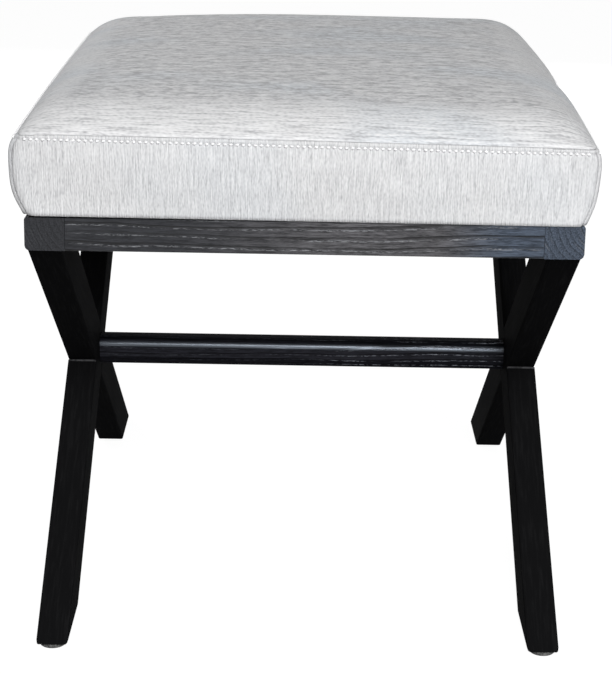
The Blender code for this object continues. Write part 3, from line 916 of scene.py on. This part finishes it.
lacquer = {
    "base": (20, 20, 21),
    "grain": (28, 28, 29),
    "fibre": ((500, 14, 500), 3.0, 0.6), "fibreSpan": (0.45, 0.75),
    "cloud": ((22, 9, 22), 2.0), "cloudShare": 0.16,
    "roughness": 0.5,
    "specular": 0.0003,  # next to none: at a low angle a plain gloss would show the white floor
    "bump": (0.00012, 0.6),
    "paintedHighlight": (84, 84, 86),  # painted highlight, a pale line just below the corners where the legs' faces meet
    "highlightOut": 0.0412, "highlightDrop": 0.0008, "highlightWidth": 0.0013,
    "highlightPatch": (((150, 20, 20), 1.0), (0.30, 0.60)), "highlightLeast": 0.25,
}


def highlightLine(place, crossing):  # painted highlight along the front and back corners of the crossed legs
    parts = split(place)
    out = minus(calc("ABSOLUTE", parts[1]), lacquer["highlightOut"])
    up = minus(parts[2], crossing - lacquer["highlightDrop"])
    return window(distance(out, up), lacquer["highlightWidth"], lacquer["highlightWidth"] / 2)


def makeLacquer(name, lean, crossing=0.0):  # black, the grain faintly telegraphing, with a painted highlight at the crossing; lean turns it along a leg
    material, tree = newMaterial(name)
    place = objectPlace(tree)
    paintedHighlight = highlightLine(place, crossing)
    place = put(tree, "Mapping", {"Vector": place, "Rotation": (lean, 0, 0)}).outputs[0]
    fibre = streaks(place, *lacquer["fibre"])
    grain = window(fibre, *lacquer["fibreSpan"])
    colour = blend(grain, lacquer["base"], lacquer["grain"])
    least = lacquer["highlightLeast"]
    patchy = weigh((marks(place, *lacquer["highlightPatch"]), 1 - least), level=least)
    # painted highlight laid over the black, broken in patches
    colour = layOver(colour, paintedHighlight, patchy, lacquer["paintedHighlight"])
    cloud = streaks(place, *lacquer["cloud"])
    rough = weigh((cloud, lacquer["cloudShare"]), level=lacquer["roughness"])
    surface = {"Roughness": rough, "Specular IOR Level": lacquer["specular"]}
    return complete(material, colour, fibre, lacquer, surface)


def dress(material, *nodes):  # a new finish on CAD nodes that keep their shape
    for name in nodes:
        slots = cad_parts[name].data.materials
        slots.clear()
        slots.append(material)


bar = {
    "round": 0.0086, "steps": 20,
    "holeWidth": 0.0100, "holeDepth": 0.0153,  # for the threaded inserts
    "rubbed": (0.02, 0.66),  # how far up a rubbed edge faces
    "sharp": 30,  # degrees
}


def barMesh():  # the stretcher, its edges fine enough to carry a soft highlight
    low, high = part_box("stretcher")
    flat = (high.z - low.z) / 2 - bar["round"]
    quarter = np.linspace(0, math.pi / 2, bar["steps"] + 1)
    turn = np.concatenate([quarter + k * math.pi / 2 for k in range(4)])
    corner = np.repeat([(1, 1), (-1, 1), (-1, -1), (1, -1)], len(quarter), axis=0)
    outline = corner * flat + bar["round"] * np.stack([np.cos(turn), np.sin(turn)], axis=-1)
    hole = unit(outline) * bar["holeWidth"] / 2
    inner = high.x - bar["holeDepth"]
    loops = ((-inner, hole), (low.x, hole), (low.x, outline),
             (high.x, outline), (high.x, hole), (inner, hole))
    middle = ((low.y + high.y) / 2, (low.z + high.z) / 2)
    points = np.concatenate([np.column_stack([np.full(len(loop), x), loop + middle]) for x, loop in loops])
    mesh = newMesh("stretcherBar", points.tolist(), tubeFaces(numbered((len(loops), len(outline)))))
    shape = bmesh.new()
    shape.from_mesh(mesh)
    bmesh.ops.recalc_face_normals(shape, faces=shape.faces)
    shape.to_mesh(mesh)
    shape.free()
    return mesh


def makeBar(plain, paintedLit, rubbed):
    mesh = barMesh()
    showPiece("stretcherBar", mesh, plain, "black_lacquer", "stretcher")
    mesh.set_sharp_from_angle(angle=math.radians(bar["sharp"]))
    mesh.materials.append(paintedLit)
    mesh.materials.append(rubbed)
    # lit and shaded copies: upright faces take the painted-lighter copy, top and bottom the darker one as
    # painted shade
    for face in mesh.polygons:
        if abs(face.normal.z) <= bar["rubbed"][0]:
            face.material_index = 1
        elif 0 < face.normal.z < bar["rubbed"][1]:
            face.material_index = 2


hearts = {  # of the trees that the boards are cut from
    "endIn": 0.05, "endUp": 0.046,  # in from an end rail's outer face, above its middle
    "leftIn": 0.06, "rightOut": 0.022,  # in or out from a side rail's outer face
    "sideUp": 0.010,  # above a side rail's top
    "barOut": 0.03, "barUp": 0.02,  # in front of the stretcher, above its top
}


def dressFrame():
    frontLow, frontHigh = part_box("front_rail")
    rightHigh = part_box("right_rail")[1]
    heartY, heartZ = frontLow.y + hearts["endIn"], (frontLow.z + frontHigh.z) / 2 + hearts["endUp"]
    sideZ = rightHigh.z + hearts["sideUp"]
    rails = {  # axis of the grain and pith
        "front": (0, (heartY, heartZ)),
        "back": (0, (-heartY, heartZ)),
        "left": (1, (hearts["leftIn"] - rightHigh.x, sideZ)),
        "right": (1, (hearts["rightOut"] + rightHigh.x, sideZ)),
    }
    for side, (grain, pith) in rails.items():
        dress(makeAsh("stainedAsh_" + side, grain, pith, ash), side + "_rail")
    legLow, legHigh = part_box("leg_front_left")
    lean = math.atan2(legHigh.z - legLow.z, legHigh.y - legLow.y)
    crossing = (legLow.z + legHigh.z) / 2
    for end, turn in (("front", -lean), ("back", lean)):
        finish = makeLacquer("blackLacquer_" + end, turn, crossing)
        dress(finish, f"leg_{end}_left", f"leg_{end}_right")
    dress(makeLacquer("blackLacquer_plug", 0.0), "bolt_plug_left", "bolt_plug_right")
    barLow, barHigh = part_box("stretcher")
    pith = (barLow.y - hearts["barOut"], barHigh.z + hearts["barUp"])
    tones = {"black": blackAsh, "paintedLit": paintedLitAsh, "rubbed": rubbedAsh}
    makeBar(*[makeAsh(name + "Ash_stretcher", 0, pith, tone) for name, tone in tones.items()])
    print("apron, legs and stretcher finished")


# black non-woven cloth under the seat

dustCover = {
    "cells": (24, 32),
    "gap": 0.0001,  # under the board
    "sag": 0.0022,
    "uneven": 0.18,  # share by which the sag varies
    "waves": (9, 2),
    "thickness": 0.0006,
    "clear": 0.0042,  # hole round each seat screw
}

nonWoven = {
    "dots": {"Scale": 420.0, "Randomness": 0.35}, "dotSpan": (0.38, 0.18), "dotShare": 0.5,
    "fibre": ((700, 700, 700), 3.0, 0.7),
    "dark": (20, 20, 21), "pale": (46, 46, 48), "pressed": (12, 12, 13),
    "surface": {"Roughness": 0.9, "Specular IOR Level": 0.12},
    "bump": (0.0003, 0.6),
}


def makeNonWoven():
    material, tree = newMaterial("blackNonWoven")
    place = objectPlace(tree)
    dots = put(tree, "TexVoronoi", {"Vector": place, **nonWoven["dots"]}).outputs["Distance"]
    fibre = streaks(place, *nonWoven["fibre"])
    pressed = window(dots, *nonWoven["dotSpan"])
    colour = blend(fibre, nonWoven["dark"], nonWoven["pale"])
    colour = layOver(colour, pressed, nonWoven["dotShare"], nonWoven["pressed"])
    return complete(material, colour, minus(fibre, pressed), nonWoven)


corners = [f"{end}_{side}" for end in ("front", "back") for side in ("left", "right")]


def lines(first, last, count, at):  # of the sheet's grid, with one on each side of a screw
    clear = dustCover["clear"]
    even = np.linspace(first, last, count)
    even = even[np.min(np.abs(even[:, None] - np.array(at)), axis=1) > 2 * clear]
    rims = [[p - clear, p + clear] for p in sorted(set(np.round(at, 5)))]
    return np.sort(np.concatenate([even] + rims))


def overScrew(cell, screws):  # cell is its four points
    x, y = (sum(point[axis] for point in cell) / 4 for axis in (0, 1))
    return any(max(abs(x - p.x), abs(y - p.y)) < dustCover["clear"] for p in screws)


def makeDustCover():
    low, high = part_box("dust_cover")
    screws = [sum(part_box("seat_screw_" + corner), Vector()) / 2 for corner in corners]
    xs = lines(low.x, high.x, dustCover["cells"][0], [p.x for p in screws])
    ys = lines(low.y, high.y, dustCover["cells"][1], [p.y for p in screws])
    u, v = 2 * (xs - low.x) / (high.x - low.x) - 1, 2 * (ys - low.y) / (high.y - low.y) - 1
    sag = dustCover["sag"] * (1 - u[None] ** 2) * (1 - v[:, None] ** 2)
    waves = dustCover["waves"]
    sag *= 1 + dustCover["uneven"] * np.sin(waves[0] * u[None] + waves[1] * v[:, None])
    top = high.z - dustCover["gap"]
    points = [(x, y, top - sag[j, i]) for j, y in enumerate(ys) for i, x in enumerate(xs)]
    quads = gridFaces(numbered((len(ys), len(xs))))
    faces = [quad[::-1] for quad in quads if not overScrew([points[p] for p in quad], screws)]
    mesh = newMesh("dustCover", points, faces)
    sheet = showPiece("dustCover", mesh, makeNonWoven(), "dust_cloth", "dust_cover")
    thicken(sheet, dustCover["thickness"], 1)
    print("dust cover,", len(mesh.polygons), "cells")


# fittings and inner wood

felt = {
    "noise": ((600, 600, 600), 4.0, 0.7), "span": (0.3, 0.7),
    "dark": (46, 46, 46), "pale": (120, 120, 119),
    "surface": {"Roughness": 0.95, "Specular IOR Level": 0.1},
    "bump": (0.0006, 0.7),
}

metal = {
    "zincPlate": {"dull": (150, 152, 156), "bright": (204, 206, 208), "roughness": 0.3},
    "turnedBrass": {"dull": (176, 138, 70), "bright": (216, 182, 110), "roughness": 0.28},
    "spangle": 900.0,
    "wear": ((260, 260, 260), 3.0, 0.6),
    "tintMix": (0.4, 0.6),  # spangle, wear
    "wearRoughness": 0.2,
    "bump": (0.0001, 0.5),
}

beech = {
    "fleck": (((240, 1500, 1500), 2.0, 0.6), (0.58, 0.70)), "fleckShare": 0.6,
    "band": ((12, 240, 240), 3.0, 0.6),
    "dark": (188, 152, 112), "pale": (216, 186, 148), "fleckShade": (148, 106, 70),
    "surface": {"Roughness": 0.6},
    "bump": (0.0002, 0.6),
}

plywood = {
    "layers": 3.5,  # pairs of veneers through the board
    "edge": (0.8, 0.4),  # how far up a face turns
    "veneer": ((7, 130, 130), 4.0, 0.6),
    "dark": (196, 166, 122), "pale": (226, 202, 164),
    "glue": (140, 104, 66), "glueSpan": (0.45, 0.55), "glueShare": 0.6,
    "surface": {"Roughness": 0.65},
    "bump": (0.0003, 0.5),
}


def makeMetal(name):
    look = metal[name]
    material, tree = newMaterial(name)
    place = objectPlace(tree)
    cells = put(tree, "TexVoronoi", {"Vector": place, "Scale": metal["spangle"]})
    spangle = split(cells.outputs["Color"])[0]
    wear = streaks(place, *metal["wear"])
    tint = weigh(*zip((spangle, wear), metal["tintMix"]))
    rough = weigh((wear, metal["wearRoughness"]), level=look["roughness"])
    colour = blend(tint, look["dull"], look["bright"])
    return complete(material, colour, wear, metal, {"Roughness": rough, "Metallic": 1.0})


def makeBeech(name, grain):
    material, tree = newMaterial(name)
    place = woodAxes(tree, grain)[0]
    fleck = marks(place, *beech["fleck"])
    band = streaks(place, *beech["band"])
    colour = blend(band, beech["dark"], beech["pale"])
    colour = layOver(colour, fleck, beech["fleckShare"], beech["fleckShade"])
    return complete(material, colour, minus(band, fleck), beech)


def makePlywood():
    thickness = boardHigh.z - boardLow.z
    material, tree = newMaterial("birchPlywood")
    axes = woodAxes(tree, 1)
    place, above = axes[0], minus(axes[3], boardLow.z)
    layer = calc("FRACT", times(above, plywood["layers"] / thickness))
    edge = window(calc("ABSOLUTE", normalParts(tree)[2]), *plywood["edge"])
    veneer = streaks(place, *plywood["veneer"])
    colour = blend(veneer, plywood["dark"], plywood["pale"])
    glue = times(window(layer, *plywood["glueSpan"]), edge)
    colour = layOver(colour, glue, plywood["glueShare"], plywood["glue"])
    return complete(material, colour, veneer, plywood)


def dressFittings():
    def each(*kinds):
        return [kind + corner for kind in kinds for corner in corners]

    dress(makeTwoTone("darkFelt", felt), *each("foot_pad_"))
    dress(makeMetal("zincPlate"), *each("seat_screw_", "leg_screw_"),
          "stretcher_bolt_left", "stretcher_bolt_right")
    dress(makeMetal("turnedBrass"), "threaded_insert_left", "threaded_insert_right")
    dress(makeBeech("beech_across", 0), *each("rail_dowel_", "leg_dowel_"))
    dress(makeBeech("beech_blocks", 1), *each("corner_block_"))
    dress(makePlywood(), "seat_board")
    print("fittings finished")


makeCamera()
makeStudio()
sewnSeat = sewnCloth()
makeCover(sewnSeat)
makeFoam(sewnSeat, makeFoamFinish())
makeTopstitch(sewnSeat, makeTwoTone("whiteThread", threadLook))

dressFrame()
makeDustCover()
dressFittings()
